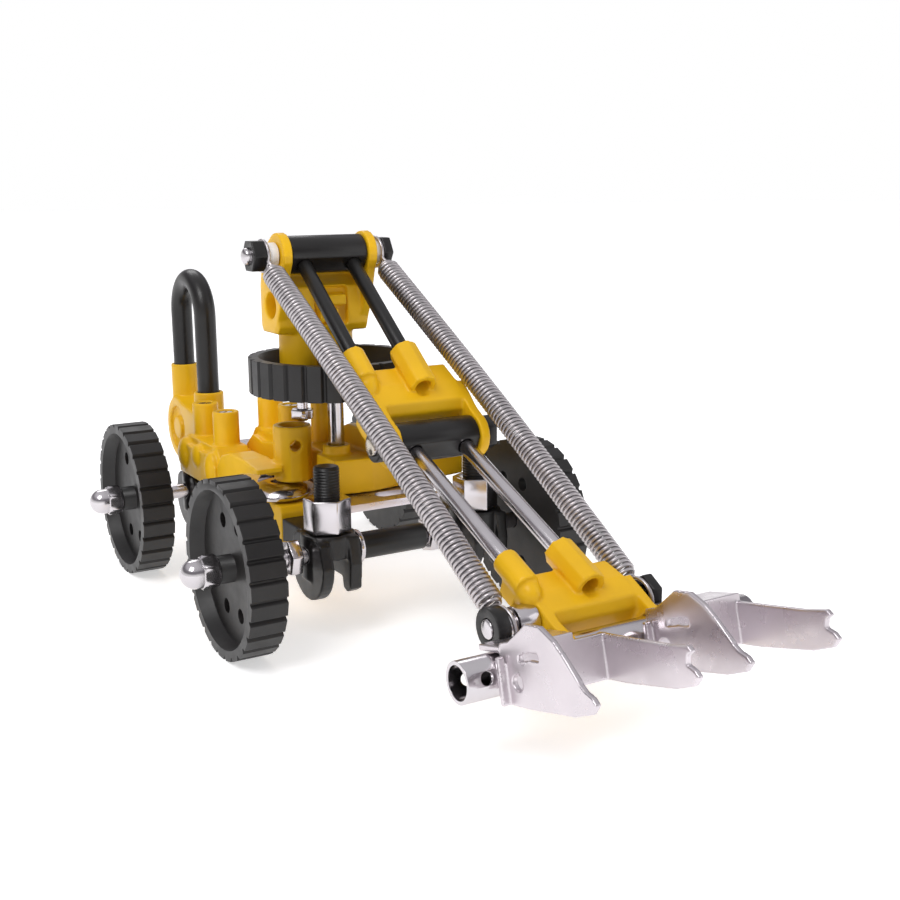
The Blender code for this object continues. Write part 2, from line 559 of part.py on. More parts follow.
# pieces threaded on the front axle
ring("axle_spacer_tube", 3.3, AXLE_R + 0.1, 17.0, axis_x(fa(0.2, 0, WHEEL_R)), "black", 24)
ring("axle_washer", 4.2, AXLE_R + 0.1, 1.2, axis_x(fa(-9.3, 0, WHEEL_R)), "chrome", 24)
hex_nut("axle_nut_left", 4.6, AXLE_R + 0.1, 3.0, axis_x(fa(-26.4, 0, WHEEL_R)), start=0.3)
hex_nut("axle_nut_right", 4.6, AXLE_R + 0.1, 4.6, axis_x(fa(12.0, 0, WHEEL_R)), start=0.3)

# the slotted deck bar
DECK_Z, DECK_T = 31.0, 1.8
DECK = [(-11.4, -2.0), (13.0, -2.0), (13.0, 82.0), (9.0, 86.0), (-5.6, 86.0), (-9.4, 82.0), (-9.4, 10.0), (-11.4, 7.0)]


def slot(cx, cy, w, h, n=6):
    r = h / 2
    return arc(cx + w / 2 - r, cy, r, -90, 90, n) + arc(cx - w / 2 + r, cy, r, 90, 270, n)


slots = [slot(2.6, y, 9.0, 4.4) for y in (4.0, 13.0, 28.0, 62.0)] + [circle(6.5, WHEELBASE, STUD_R + 0.1, 20)]
deck = add("slotted_deck_bar", plate_mesh("slotted_deck_bar", DECK, DECK_T, slots + [circle(SWIVEL[0], SWIVEL[1], PIN_R + 0.1, 16)]),
           Matrix.Translation(fa(0, 0, DECK_Z)), "chrome")
DECK_TOP = DECK_Z + DECK_T / 2 + GAP

# centre connector on the deck bar; it carries the turntable pin
centre = [(-11.0, 7.5), (-1.0, 6.6), (10.0, 8.6), (28.0, 12.0), (32.0, 17.0), (30.0, 33.0), (22.0, 36.0), (2.0, 34.8),
          (-8.8, 32.0), (-8.8, 19.6), (-11.0, 18.0)]
cc = add("centre_connector", plate_mesh("centre_connector", centre, 8.6), Matrix.Translation(fa(0, 0, DECK_TOP + 4.3)), "yellow")
join_cyl(cc, "centre_boss", 3.5, 8.0, Matrix.Translation(fa(SWIVEL[0], SWIVEL[1], 39.2)), 20)
join_cyl(cc, "centre_post", 4.6, 14.0, Matrix.Translation(fa(14.0, 26.0, 40.2)), 20)
join_cyl(cc, "back_post", 2.8, 20.0, Matrix.Translation(fa(-2.8, 32.2, 46.0)), 20)
rib = [(6.0, 40.0), (34.0, 40.0), (31.0, 44.0), (24.0, 46.4), (12.0, 46.4), (8.0, 43.6)]
join_plate(cc, "centre_rib_l", rib, 2.6, side(Matrix.Translation(fa(0, 0, 0)), 2.0))
join_plate(cc, "centre_rib_r", rib, 2.6, side(Matrix.Translation(fa(0, 0, 0)), 24.0))
cut_cyl(cc, "centre_pin_hole", PIN_R + 0.1, 60, Matrix.Translation(fa(SWIVEL[0], SWIVEL[1], 46.0)), 16)
cut_cyl(cc, "centre_post_bore", 2.2, 16, Matrix.Translation(fa(14.0, 26.0, 47.2)), 16)

# front connector: post with a cross hole, and the long saddle beside it
FP = (-14.4, 25.0)
fc = add("front_connector", cyl_mesh("front_connector", 4.9, 14.2, 12), Matrix.Translation(fa(FP[0], FP[1], 40.5)), "yellow")
saddle = [(49.6, 26.4), (49.6, 33.0), (46.0, 37.0), (40.0, 38.6), (30.0, 38.8), (21.0, 37.8), (20.6, 36.6), (27.0, 35.6),
          (33.0, 34.4), (37.0, 31.6), (41.0, 27.6), (44.0, 26.4)]
join_plate(fc, "saddle", saddle, 7.0, side(Matrix.Translation(fa(0, 0, 0)), -22.4))
bridge = add("saddle_bridge", box_mesh("saddle_bridge", 8.0, 8.0, 2.4), Matrix.Translation(fa(-18.0, 27.0, 36.6)), cutter=True)
boolean(fc, bridge, "UNION")
cut_cyl(fc, "front_post_bore", 3.3, 14.0, Matrix.Translation(fa(FP[0], FP[1], 47.6)), 20)
m = Matrix.Translation(fa(FP[0], FP[1], 42.8)) @ Matrix.Rotation(math.radians(-12), 4, "Z") @ Matrix.Rotation(math.pi / 2, 4, "X")
cut_cyl(fc, "front_post_cross", 1.45, 30, m, 16)

# domed washer under the post, and the yellow hanger that reaches the clevis
dome = turned_mesh("dome_washer", [(2.2, 33.1), (4.4, 33.0), (6.8, 32.0), (8.0, 30.4), (7.4, 29.4), (5.0, 29.0), (2.2, 29.0)], 28)
add("dome_washer", dome, Matrix.Translation(fa(-17.8, 26.2, 0)), "chrome")
hanger = [(16.8, 18.6), (33.0, 18.6), (34.0, 24.0), (31.0, 28.6), (17.6, 28.6), (16.8, 27.0)]
fh = add("front_hanger", plate_mesh("front_hanger", hanger, 9.4), side(Matrix.Translation(fa(0, 0, 0)), -16.8), "yellow")
join_plate(fh, "front_hanger_wing", [(17.2, 24.2), (31.6, 24.2), (31.6, 28.6), (17.6, 28.6)], 20.0, side(Matrix.Translation(fa(0, 0, 0)), -6.0))

# middle connector: two posts
for name, xs, ys, body_x, body_y, z0, z1, zt, r in (
        ("middle_connector", -8.0, (54.2, 39.9), (-13.4, 4.0), (35.8, 60.0), DECK_TOP, 41.4, 50.0, 3.5),
        ("rear_connector", -20.0, (73.2, 57.0), (-26.4, -13.8), (50.2, 79.6), 26.4, 37.4, 46.7, 3.6)):
    w = body_x[1] - body_x[0]
    mid_y = (body_y[0] + body_y[1]) / 2
    prof = [(body_y[0], z0), (body_y[0], z1 - 3.4), (body_y[0] + 3.0, z1), (body_y[1] - 3.0, z1), (body_y[1], z1 - 3.4), (body_y[1], z0)]
    k = add(name, plate_mesh(name, prof, w - 3.6), side(Matrix.Translation(fa(0, 0, 0)), (body_x[0] + body_x[1]) / 2), "yellow")
    for sgn, t in ((-1, "l"), (1, "r")):
        cheek = [(body_y[0] + 0.4, z0), (body_y[0] + 0.4, z1 - 5.0), (body_y[0] + 5.0, z1 - 1.6), (mid_y, z1 - 2.6),
                 (body_y[1] - 5.0, z1 - 1.6), (body_y[1] - 0.4, z1 - 5.0), (body_y[1] - 0.4, z0)]
        join_plate(k, "%s_cheek_%s" % (name, t), cheek, 2.0, side(Matrix.Translation(fa(0, 0, 0)), (body_x[0] + 1.0 if sgn < 0 else body_x[1] - 1.0)))
    for i, y in enumerate(ys):
        join_cyl(k, "%s_post_%d" % (name, i), r, zt - z1 + 2.0, Matrix.Translation(fa(xs, y, (zt + z1 - 2.0) / 2)), 20)
        cut_cyl(k, "%s_bore_%d" % (name, i), 2.3, 8.0, Matrix.Translation(fa(xs, y, zt)), 16)
    if name.startswith("rear"):
        cut_cyl(k, name + "_stud_hole", STUD_R + 0.1, 22.0, Matrix.Translation(fa(xs, WHEELBASE, 26.0)), 20)

# rear socket block and the U-shaped black tube standing in it
US = ((104.5, 53.8), (84.0, 47.9))
UX, U_R = -15.0, 3.1
ring_lobe = arc(101.5, 34.6, 9.4, 150, 400, 20)
sb = add("rear_socket_block", plate_mesh("rear_socket_block", [(80.2, 28.0), (80.2, 38.6), (84.0, 41.0), (96.0, 42.6)]
         + arc(101.5, 34.6, 9.4, 100, -110, 18) + [(92.0, 26.0)], 8.6), side(Matrix.Translation(fa(0, 0, 0)), UX), "yellow")
for i, (y, z) in enumerate(US):
    join_cyl(sb, "rear_socket_%d" % i, 4.3 if i else 4.0, z - 34.0, Matrix.Translation(fa(UX, y, (z + 34.0) / 2)), 24)
    cut_cyl(sb, "rear_socket_bore_%d" % i, U_R + 0.1, 26.0, Matrix.Translation(fa(UX, y, z)), 20)
cut_cyl(sb, "rear_lobe_recess", 6.6, 2.4, axis_x(fa(UX - 4.3, 101.5, 34.6)), 24)
join_cyl(sb, "rear_lobe_hub", 3.4, 8.6, axis_x(fa(UX, 101.5, 34.6)), 20)
U_TOP = 83.0
u_half = (US[0][0] - US[1][0]) / 2
u_mid = (US[0][0] + US[1][0]) / 2
zc = U_TOP - U_R - u_half
path = [(US[0][0], US[0][1] - 12.6), (US[0][0], zc)] + [
    (u_mid + u_half * math.cos(math.radians(t)), zc + u_half * math.sin(math.radians(t))) for t in range(12, 180, 12)] + [
    (US[1][0], zc), (US[1][0], US[1][1] - 12.6)]
cu = bpy.data.curves.new("u_tube", "CURVE")
cu.dimensions = "3D"
cu.bevel_depth = U_R * MM
cu.bevel_resolution = 4
cu.use_fill_caps = True
sp = cu.splines.new("POLY")
sp.points.add(len(path) - 1)
for pt, (y, z) in zip(sp.points, path):
    pt.co = (*fa(UX, y, z), 1.0)
ob = bpy.data.objects.new("u_tube_path", cu)
cutters.objects.link(ob)
me = bpy.data.meshes.new_from_object(ob.evaluated_get(bpy.context.evaluated_depsgraph_get()))
bpy.data.objects.remove(ob, do_unlink=True)
bm = bmesh.new()
bm.from_mesh(me)
bmesh.ops.remove_doubles(bm, verts=bm.verts, dist=2e-6)
bmesh.ops.recalc_face_normals(bm, faces=bm.faces)
bm.to_mesh(me)
bm.free()
add("u_tube", me, None, "black")
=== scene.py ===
import json
import math

import bmesh
import bpy
import numpy as np
from mathutils import Matrix, Vector


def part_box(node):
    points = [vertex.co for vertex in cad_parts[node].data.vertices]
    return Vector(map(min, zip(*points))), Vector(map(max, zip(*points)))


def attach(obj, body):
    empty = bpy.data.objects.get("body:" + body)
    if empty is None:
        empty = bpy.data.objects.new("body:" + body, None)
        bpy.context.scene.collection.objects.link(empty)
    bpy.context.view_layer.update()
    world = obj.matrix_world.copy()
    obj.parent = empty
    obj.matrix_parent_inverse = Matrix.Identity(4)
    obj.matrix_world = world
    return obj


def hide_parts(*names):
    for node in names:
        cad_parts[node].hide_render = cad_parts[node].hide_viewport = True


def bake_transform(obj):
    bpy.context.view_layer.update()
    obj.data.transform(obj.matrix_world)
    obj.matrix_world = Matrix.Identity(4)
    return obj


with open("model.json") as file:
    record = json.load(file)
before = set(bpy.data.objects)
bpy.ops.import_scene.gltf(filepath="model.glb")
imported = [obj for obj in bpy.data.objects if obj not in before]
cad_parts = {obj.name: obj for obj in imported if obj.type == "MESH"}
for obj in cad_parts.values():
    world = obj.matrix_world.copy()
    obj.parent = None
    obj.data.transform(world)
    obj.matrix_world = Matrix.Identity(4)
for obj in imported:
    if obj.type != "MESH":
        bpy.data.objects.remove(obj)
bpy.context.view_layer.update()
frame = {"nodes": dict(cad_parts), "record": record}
NODES = frame["nodes"]
GROUPS = frame["record"]["behaviour"]["bodies"]
BODY = {n: b for b, ns in GROUPS.items() for n in ns}
MM = 0.001
FA_Y = 0.1
JOINT = {j["name"]: j for j in frame["record"]["behaviour"]["joints"]}


# ------------------------------------------------------------------ materials
def node_material(name, base, rough, metal=0.0, vary=0.06, rough_vary=0.06, grain=2600.0, bump=0.03, edge=0.0003,
                  coat=0.0, low=None, scale=60.0, spec=0.5, scratch=False):
    """A procedural finish: slow colour drift, fine mould grain or polish
    marks, roughness that varies, and softened edges."""
    m = bpy.data.materials.new(name)
    m.use_nodes = True
    nt = m.node_tree
    b = nt.nodes["Principled BSDF"]
    tc = nt.nodes.new("ShaderNodeTexCoord")
    n1 = nt.nodes.new("ShaderNodeTexNoise")
    n1.inputs["Scale"].default_value = scale
    n1.inputs["Detail"].default_value = 5.0
    nt.links.new(tc.outputs["Object"], n1.inputs["Vector"])
    ramp = nt.nodes.new("ShaderNodeValToRGB")
    lo = low or tuple(c * (1 - 2.2 * vary) for c in base)
    hi = tuple(min(1.0, c * (1 + vary)) for c in base)
    ramp.color_ramp.elements[0].color = (*lo, 1)
    ramp.color_ramp.elements[0].position = 0.30
    ramp.color_ramp.elements[1].color = (*hi, 1)
    ramp.color_ramp.elements[1].position = 0.68
    nt.links.new(n1.outputs["Fac"], ramp.inputs["Fac"])
    nt.links.new(ramp.outputs["Color"], b.inputs["Base Color"])
    b.inputs["Metallic"].default_value = metal
    b.inputs["Specular IOR Level"].default_value = spec
    b.inputs["Coat Weight"].default_value = coat
    b.inputs["Coat Roughness"].default_value = 0.18
    n2 = nt.nodes.new("ShaderNodeTexNoise")
    n2.inputs["Scale"].default_value = 220.0
    n2.inputs["Detail"].default_value = 6.0
    nt.links.new(tc.outputs["Object"], n2.inputs["Vector"])
    mr = nt.nodes.new("ShaderNodeMapRange")
    mr.inputs["From Min"].default_value = 0.3
    mr.inputs["From Max"].default_value = 0.7
    mr.inputs["To Min"].default_value = max(0.02, rough - rough_vary)
    mr.inputs["To Max"].default_value = rough + rough_vary
    nt.links.new(n2.outputs["Fac"], mr.inputs["Value"])
    nt.links.new(mr.outputs["Result"], b.inputs["Roughness"])
    n3 = nt.nodes.new("ShaderNodeTexNoise")
    n3.inputs["Scale"].default_value = grain
    n3.inputs["Detail"].default_value = 3.0
    nt.links.new(tc.outputs["Object"], n3.inputs["Vector"])
    bp = nt.nodes.new("ShaderNodeBump")
    bp.inputs["Strength"].default_value = bump
    bp.inputs["Distance"].default_value = 0.0002
    nt.links.new(n3.outputs["Fac"], bp.inputs["Height"])
    if edge:
        bv = nt.nodes.new("ShaderNodeBevel")
        bv.samples = 4
        bv.inputs["Radius"].default_value = edge
        nt.links.new(bv.outputs["Normal"], bp.inputs["Normal"])
    nt.links.new(bp.outputs["Normal"], b.inputs["Normal"])
    return m


YELLOW = node_material("yellow_moulded", (0.86, 0.50, 0.008), 0.36, vary=0.05, low=(0.76, 0.43, 0.008), coat=0.0, bump=0.05, edge=0.0, spec=0.30)
BLACK = node_material("black_moulded", (0.0105, 0.0095, 0.0092), 0.34, vary=0.10, low=(0.0060, 0.0055, 0.0054), bump=0.08, edge=0.00025, spec=0.42)
TYRE = node_material("black_wheel", (0.0150, 0.0135, 0.0130), 0.42, vary=0.10, low=(0.0095, 0.0088, 0.0086), bump=0.10, edge=0.00025, spec=0.42)
CHROME = node_material("chromed_steel", (0.62, 0.59, 0.61), 0.19, metal=1.0, vary=0.04, rough_vary=0.05, bump=0.02, edge=0.0002)
CHROME_ROUGH = node_material("plated_strip", (0.66, 0.61, 0.64), 0.30, metal=1.0, vary=0.05, rough_vary=0.07, bump=0.05, edge=0.0)
WIRE = node_material("spring_wire", (0.52, 0.49, 0.50), 0.36, metal=1.0, vary=0.06, rough_vary=0.06, bump=0.03, edge=0.0)
NYLON = node_material("white_nylon", (0.86, 0.85, 0.84), 0.42, vary=0.03, bump=0.05, edge=0.0002)
RAW = node_material("raw_bolt_end", (0.60, 0.54, 0.46), 0.26, metal=1.0, vary=0.10, rough_vary=0.08, bump=0.08, edge=0.0)

BY_SLOT = {"yellow_plastic": YELLOW, "black_plastic": BLACK, "chromed_steel": CHROME, "white_nylon": NYLON}
SLOT = {s["node"]: s["material_slot"] for s in frame["record"]["subparts"]}


def finish_of(node):
    if node.startswith("wheel") or node == "turntable":
        return TYRE
    if node in ("slotted_deck_bar", "fork_bracket_left", "fork_bracket_right"):
        return CHROME_ROUGH
    return BY_SLOT[SLOT[node]]


def set_material(ob, mat):
    ob.data.materials.clear()
    ob.data.materials.append(mat)


for name, ob in NODES.items():
    set_material(ob, finish_of(name))
    ob.data.polygons.foreach_set("use_smooth", [False] * len(ob.data.polygons))


# ------------------------------------------------------------- shape helpers
def welded_copy(node):
    me = NODES[node].data.copy()
    bm = bmesh.new()
    bm.from_mesh(me)
    bmesh.ops.remove_doubles(bm, verts=bm.verts, dist=2e-6)
    bmesh.ops.recalc_face_normals(bm, faces=bm.faces)
    bm.to_mesh(me)
    bm.free()
    return me


def place(name, me, body, mat, replaces=(), smooth_angle=35.0, blend=None):
    ob = bpy.data.objects.new(name, me)
    bpy.context.scene.collection.objects.link(ob)
    set_material(ob, mat)
    me.shade_smooth()
    if smooth_angle:
        me.set_sharp_from_angle(angle=math.radians(smooth_angle))
    if blend:
        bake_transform(ob)
    else:
        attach(ob, body)
    if replaces:
        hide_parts(*replaces)
    return ob


def evaluated(ob):
    dg = bpy.context.evaluated_depsgraph_get()
    me = bpy.data.meshes.new_from_object(ob.evaluated_get(dg))
    bpy.data.objects.remove(ob, do_unlink=True)
    return me


def moulded(node, voxel=0.00034, smooth=5, keep=0.45, mat=None, extra=(), reshape=None):
    """Rounds a CAD solid's edges and inner corners as a moulding has them.
    extra adds bosses (shape, matrix) that melt into the body."""
    me = welded_copy(node)
    if reshape:
        for v in me.vertices:
            v.co = reshape(v.co)
    if extra:
        bm = bmesh.new()
        bm.from_mesh(me)
        for kind, mat4 in extra:
            if kind == "ball":
                bmesh.ops.create_icosphere(bm, subdivisions=3, radius=1.0, matrix=mat4)
            else:
                bmesh.ops.create_cube(bm, size=1.0, matrix=mat4)
        bm.to_mesh(me)
        bm.free()
    ob = bpy.data.objects.new(node + "_raw", me)
    bpy.context.scene.collection.objects.link(ob)
    r = ob.modifiers.new("remesh", "REMESH")
    r.mode = "VOXEL"
    r.voxel_size = voxel
    r.adaptivity = 0.0
    s = ob.modifiers.new("smooth", "SMOOTH")
    s.factor = 0.5
    s.iterations = smooth
    if keep < 1.0:
        d = ob.modifiers.new("decimate", "DECIMATE")
        d.ratio = keep
    out = evaluated(ob)
    return place(node + "_moulded", out, BODY[node], mat or finish_of(node), (node,), smooth_angle=0)


def bevelled(node, width=0.00025, segments=2, angle=28.0, mat=None):
    """Sharp CAD edges get a small real bevel."""
    me = welded_copy(node)
    ob = bpy.data.objects.new(node + "_raw", me)
    bpy.context.scene.collection.objects.link(ob)
    d = ob.modifiers.new("flat", "DECIMATE")
    d.decimate_type = "DISSOLVE"
    d.angle_limit = math.radians(0.6)
    b = ob.modifiers.new("bevel", "BEVEL")
    b.width = width
    b.segments = segments
    b.limit_method = "ANGLE"
    b.angle_limit = math.radians(angle)
    b.use_clamp_overlap = True
    out = evaluated(ob)
    return place(node + "_bevelled", out, BODY[node], mat or finish_of(node), (node,), smooth_angle=angle)


def turned(name, profile, seg=48):
    """A turned solid about local Z from (r, z) points in mm."""
    bm = bmesh.new()
    rows = []
    for r, z in profile:
        if r < 1e-6:
            rows.append([bm.verts.new((0, 0, z * MM))])
        else:
            rows.append([bm.verts.new((r * MM * math.cos(2 * math.pi * i / seg), r * MM * math.sin(2 * math.pi * i / seg), z * MM))
                         for i in range(seg)])
    for a, b in zip(rows, rows[1:]):
        for i in range(seg):
            j = (i + 1) % seg
            if len(a) == 1 and len(b) == 1:
                continue
            if len(a) == 1:
                bm.faces.new((a[0], b[i], b[j]))
            elif len(b) == 1:
                bm.faces.new((a[i], b[0], a[j]))
            else:
                bm.faces.new((a[i], b[i], b[j], a[j]))
    if len(rows[0]) > 1 and len(rows[-1]) > 1:
        a, b = rows[-1], rows[0]
        for i in range(seg):
            j = (i + 1) % seg
            bm.faces.new((a[i], b[i], b[j], a[j]))
    bmesh.ops.recalc_face_normals(bm, faces=bm.faces)
    me = bpy.data.meshes.new(name)
    bm.to_mesh(me)
    bm.free()
    return me


def moved(me, matrix):
    me.transform(matrix)
    return me


def axis_x(x, y, z):
    return Matrix.Translation((x, y, z)) @ Matrix.Rotation(math.pi / 2, 4, "Y")


def tube_along(name, points, radius, sides=12, up=None):
    """A closed tube through points, carried by a rotation that never twists."""
    pts = [Vector(p) for p in points]
    n = len(pts)
    bm = bmesh.new()
    t0 = (pts[1] - pts[0]).normalized()
    ref = up or (Vector((0, 0, 1)) if abs(t0.z) < 0.9 else Vector((1, 0, 0)))
    u = (ref - t0 * ref.dot(t0)).normalized()
    rings = []
    prev = t0
    for i in range(n):
        t = (pts[min(i + 1, n - 1)] - pts[max(i - 1, 0)]).normalized()
        q = prev.rotation_difference(t)
        u = (q @ u)
        u = (u - t * u.dot(t)).normalized()
        v = t.cross(u)
        prev = t
        r = radius[i] if isinstance(radius, (list, tuple)) else radius
        rings.append([bm.verts.new(pts[i] + (u * math.cos(a) + v * math.sin(a)) * r)
                      for a in [2 * math.pi * k / sides for k in range(sides)]])
    for a, b in zip(rings, rings[1:]):
        for k in range(sides):
            j = (k + 1) % sides
            bm.faces.new((a[k], a[j], b[j], b[k]))
    bm.faces.new(list(reversed(rings[0])))
    bm.faces.new(rings[-1])
    bmesh.ops.recalc_face_normals(bm, faces=bm.faces)
    me = bpy.data.meshes.new(name)
    bm.to_mesh(me)
    bm.free()
    return me


# ------------------------------------------------------- moulded yellow links
TOP_P = Vector(JOINT["shoulder_lift"]["pos_m"])
ELB_P = Vector(JOINT["elbow_bend"]["pos_m"])
TUB_P = Vector(JOINT["fork_tilt"]["pos_m"])


def link_frame(origin, far):
    """A link's frame: its rods run along local Y, 6.5 mm above the axis."""
    d = far - origin
    rise = math.atan2(d.z, d.y) - math.asin(0.0065 / math.hypot(d.y, d.z))
    return Matrix.Translation(origin) @ Matrix.Rotation(rise, 4, "X")


def sized(frame4, x, y, z, sx, sy, sz):
    return frame4 @ Matrix.Translation((x * MM, y * MM, z * MM)) @ Matrix.Diagonal((sx * MM, sy * MM, sz * MM, 1.0))


for node, origin, far in (("boom_block", ELB_P, TOP_P), ("stick_block", TUB_P, ELB_P)):
    f = link_frame(origin, far)
    moulded(node, extra=[("ball", sized(f, -12.3, 14.8, 4.9, 2.8, 4.6, 3.2)), ("ball", sized(f, -11.2, 13.4, 3.0, 2.4, 3.8, 3.0))])
tf = Matrix.Translation(TOP_P)
moulded("turret_block", extra=[("box", sized(tf, 2.8, 1.4, -11.4, 6.4, 3.4, 2.6)), ("box", sized(tf, 1.4, 1.0, -15.2, 5.0, 2.6, 3.2)),
                               ("box", sized(tf, 2.6, 3.2, -13.2, 8.6, 2.4, 9.0))])

HOME = Matrix.Translation((0, FA_Y * MM, 0))
moulded("rear_connector", extra=[("ball", sized(HOME, -25.4, 54.4, 31.6, 2.2, 3.4, 4.8)), ("ball", sized(HOME, -25.6, 65.0, 33.2, 1.8, 3.6, 3.4)),
                                 ("ball", sized(HOME, -25.4, 75.2, 32.0, 2.4, 4.0, 5.0)), ("ball", sized(HOME, -20.0, 51.0, 32.4, 4.6, 2.0, 4.0))])
for node in ("centre_connector", "front_connector", "front_hanger",
             "middle_connector", "rear_socket_block"):
    moulded(node)
for node in ("clevis_front_left", "clevis_front_right", "clevis_rear_left", "clevis_rear_right"):
    moulded(node, voxel=0.00034, smooth=4)
FORK = Matrix.Translation(TUB_P) @ Matrix.Rotation(-math.radians(14.0), 4, "X")
FORK_INV = FORK.inverted()
OLD_TOP = ((-28.4, 1.4), (-24.4, 2.6), (-22.4, 5.2), (-18.6, 8.4), (-13.4, 10.4), (-8.4, 10.6), (-5.4, 8.8), (-4.9, 6.6))
NEW_TOP = ((-28.4, 1.6), (-25.4, 5.0), (-22.4, 8.0), (-18.6, 10.2), (-14.4, 10.4), (-11.0, 8.4), (-8.0, 6.8), (-4.9, 6.4))


def lobe_forward(co):
    """The tall prong's lobe stands halfway along it, not at its root."""
    p = FORK_INV @ co
    y, z, x = p.y / MM, p.z / MM, p.x / MM
    if z > 0 and -28.4 < y < -4.9 and (abs(x + 27.8) < 0.9 or abs(x - 6.0) < 0.9):
        old = float(np.interp(y, [q[0] for q in OLD_TOP], [q[1] for q in OLD_TOP]))
        new = float(np.interp(y, [q[0] for q in NEW_TOP], [q[1] for q in NEW_TOP]))
        p.z *= new / old
    return FORK @ p


for node in ("fork_bracket_left", "fork_bracket_right"):
    moulded(node, voxel=0.00020, smooth=7, keep=0.45, reshape=None)
for node in ("fork_bracket_left", "fork_bracket_right"):
    me = bpy.data.objects[node + "_moulded"].data
    for v in me.vertices:
        v.co = lobe_forward(v.co)

# --------------------------------------------------------------- springs
WIRE_R, COIL_R, PITCH = 0.43, 2.45, 1.04


def spring(tag, body_a="boom", body_b="stick"):
    lo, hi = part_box("spring_" + tag)
    me = NODES["spring_" + tag].data
    co = np.array([v.co for v in me.vertices])
    # the solid's own ends: its highest and lowest rings
    top_band = co[co[:, 2] > hi.z - 0.004]
    low_band = co[co[:, 2] < lo.z + 0.004]
    top_c, low_c = Vector(top_band.mean(0)), Vector(low_band.mean(0))
    T, Bp = Vector(JOINT["shoulder_lift"]["pos_m"]), Vector(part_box("hook_bolt")[0])
    hook_lo, hook_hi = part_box("hook_bolt")
    hy, hz = (hook_lo.y + hook_hi.y) / 2, (hook_lo.z + hook_hi.z) / 2
    p0 = Vector((END_X[tag][0] * MM, T.y, T.z))
    p3 = Vector((END_X[tag][1] * MM, hy, hz))
    d = (p3 - p0).normalized()
    up = d.cross(Vector((1, 0, 0))).normalized()
    if up.z < 0:
        up = -up
    sidev = up.cross(d).normalized()
    total = (p3 - p0).length
    a0, a1 = 5.4 * MM, total - 3.9 * MM
    turns = (a1 - a0) / (PITCH * MM)
    steps = int(turns * 16)
    pts = []
    # hook round the shoulder collar
    for k in range(15):
        a = math.radians(250 - k * 18)
        pts.append(p0 + Vector((0, 0, 0)) + (-d * math.cos(a) + up * math.sin(a)) * 3.7 * MM + Vector((0.05 * k * MM, 0, 0)))
    for i in range(steps + 1):
        f = i / steps
        a = a0 + (a1 - a0) * f
        bow = 1.0 * MM * math.sin(math.pi * a / total)
        ang = 2 * math.pi * turns * f
        grow = min(1.0, 0.5 + 0.5 * min(i, steps - i) / 30.0)
        c = p0 + d * a + up * bow
        pts.append(c + (up * math.cos(ang) + sidev * math.sin(ang)) * COIL_R * grow * MM)
    for k in range(15):
        a = math.radians(-40 + k * 18)
        pts.append(p3 + (d * math.cos(a) + up * math.sin(a)) * 3.9 * MM + Vector((-0.05 * k * MM, 0, 0)))
    me = tube_along("spring_%s_coil" % tag, pts, WIRE_R * MM, sides=8)
    ob = place("spring_%s_coil" % tag, me, None, WIRE, ("spring_" + tag,), smooth_angle=0,
               blend=(body_a, body_b, tuple(p0), tuple(p3)))
    return ob


hb_lo, hb_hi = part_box("hook_bolt")
sb_lo, sb_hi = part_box("shoulder_bolt")
END_X = {"left": (-22.6, -12.8), "right": (7.7, 20.4)}
spring("left")
spring("right")

# ------------------------------------------------------------ threads and ends
def thread(name, x, y, z0, z1, r, body, mat, pitch=0.7, depth=0.22):
    """Vee thread as stacked ring crests around a stud."""
    turns = (z1 - z0) / pitch
    seg = 28
    rows = int(turns * 2) + 1
    prof = []
    z = z0
    k = 0
    while z <= z1 + 1e-6:
        prof.append((r + (depth if k % 2 else 0.02), z))
        z += pitch / 2
        k += 1
    prof = [(r - 0.35, z0)] + prof + [(r - 0.35, prof[-1][1])]
    me = turned(name, prof, 32)
    return place(name, moved(me, Matrix.Translation((x * MM, (y + FA_Y) * MM, 0))), body, mat, smooth_angle=50)


thread("clevis_thread_left", -16.8, 0.0, 34.6, 41.6, 2.95, "chassis", BLACK)
thread("clevis_thread_right", 24.6, 0.0, 34.6, 41.6, 2.95, "chassis", BLACK)
for sgn, s in ((-1, "left"), (1, "right")):
    thread("turret_thread_" + s, -6.3 + sgn * 4.4, 26.4, 50.9, 57.0, 1.30, "turret", CHROME, pitch=0.6, depth=0.16)


def screw_top(name, x, y, z, r):
    """A slotted screw head sunk in a post."""
    me = turned(name, [(0, z), (r * 0.82, z), (r, z - 0.25), (r, z - 1.4), (0, z - 1.4)], 32)
    bm = bmesh.new()
    bm.from_mesh(me)
    bm.to_mesh(me)
    bm.free()
    ob = bpy.data.objects.new(name + "_raw", me)
    bpy.context.scene.collection.objects.link(ob)
    cube = bpy.data.meshes.new(name + "_slotmesh")
    b2 = bmesh.new()
    bmesh.ops.create_cube(b2, size=1.0)
    bmesh.ops.scale(b2, vec=(3 * r * MM, 0.55 * MM, 1.2 * MM), verts=b2.verts)
    bmesh.ops.rotate(b2, verts=b2.verts, matrix=Matrix.Rotation(0.9, 3, "Z"))
    bmesh.ops.translate(b2, verts=b2.verts, vec=(0, 0, z * MM))
    b2.to_mesh(cube)
    b2.free()
    cut = bpy.data.objects.new(name + "_slotcut", cube)
    bpy.context.scene.collection.objects.link(cut)
    m = ob.modifiers.new("slot", "BOOLEAN")
    m.object = cut
    m.solver = "EXACT"
    out = evaluated(ob)
    bpy.data.objects.remove(cut, do_unlink=True)
    return place(name, moved(out, Matrix.Translation((x * MM, (y + FA_Y) * MM, 0))), "chassis", CHROME, smooth_angle=30)


for i, (x, y, z) in enumerate(((-20, 73.2, 46.4), (-20, 57.0, 46.4), (-8, 54.2, 49.7), (-8, 39.9, 49.7))):
    screw_top("post_screw_%d" % i, x, y, z, 2.15)


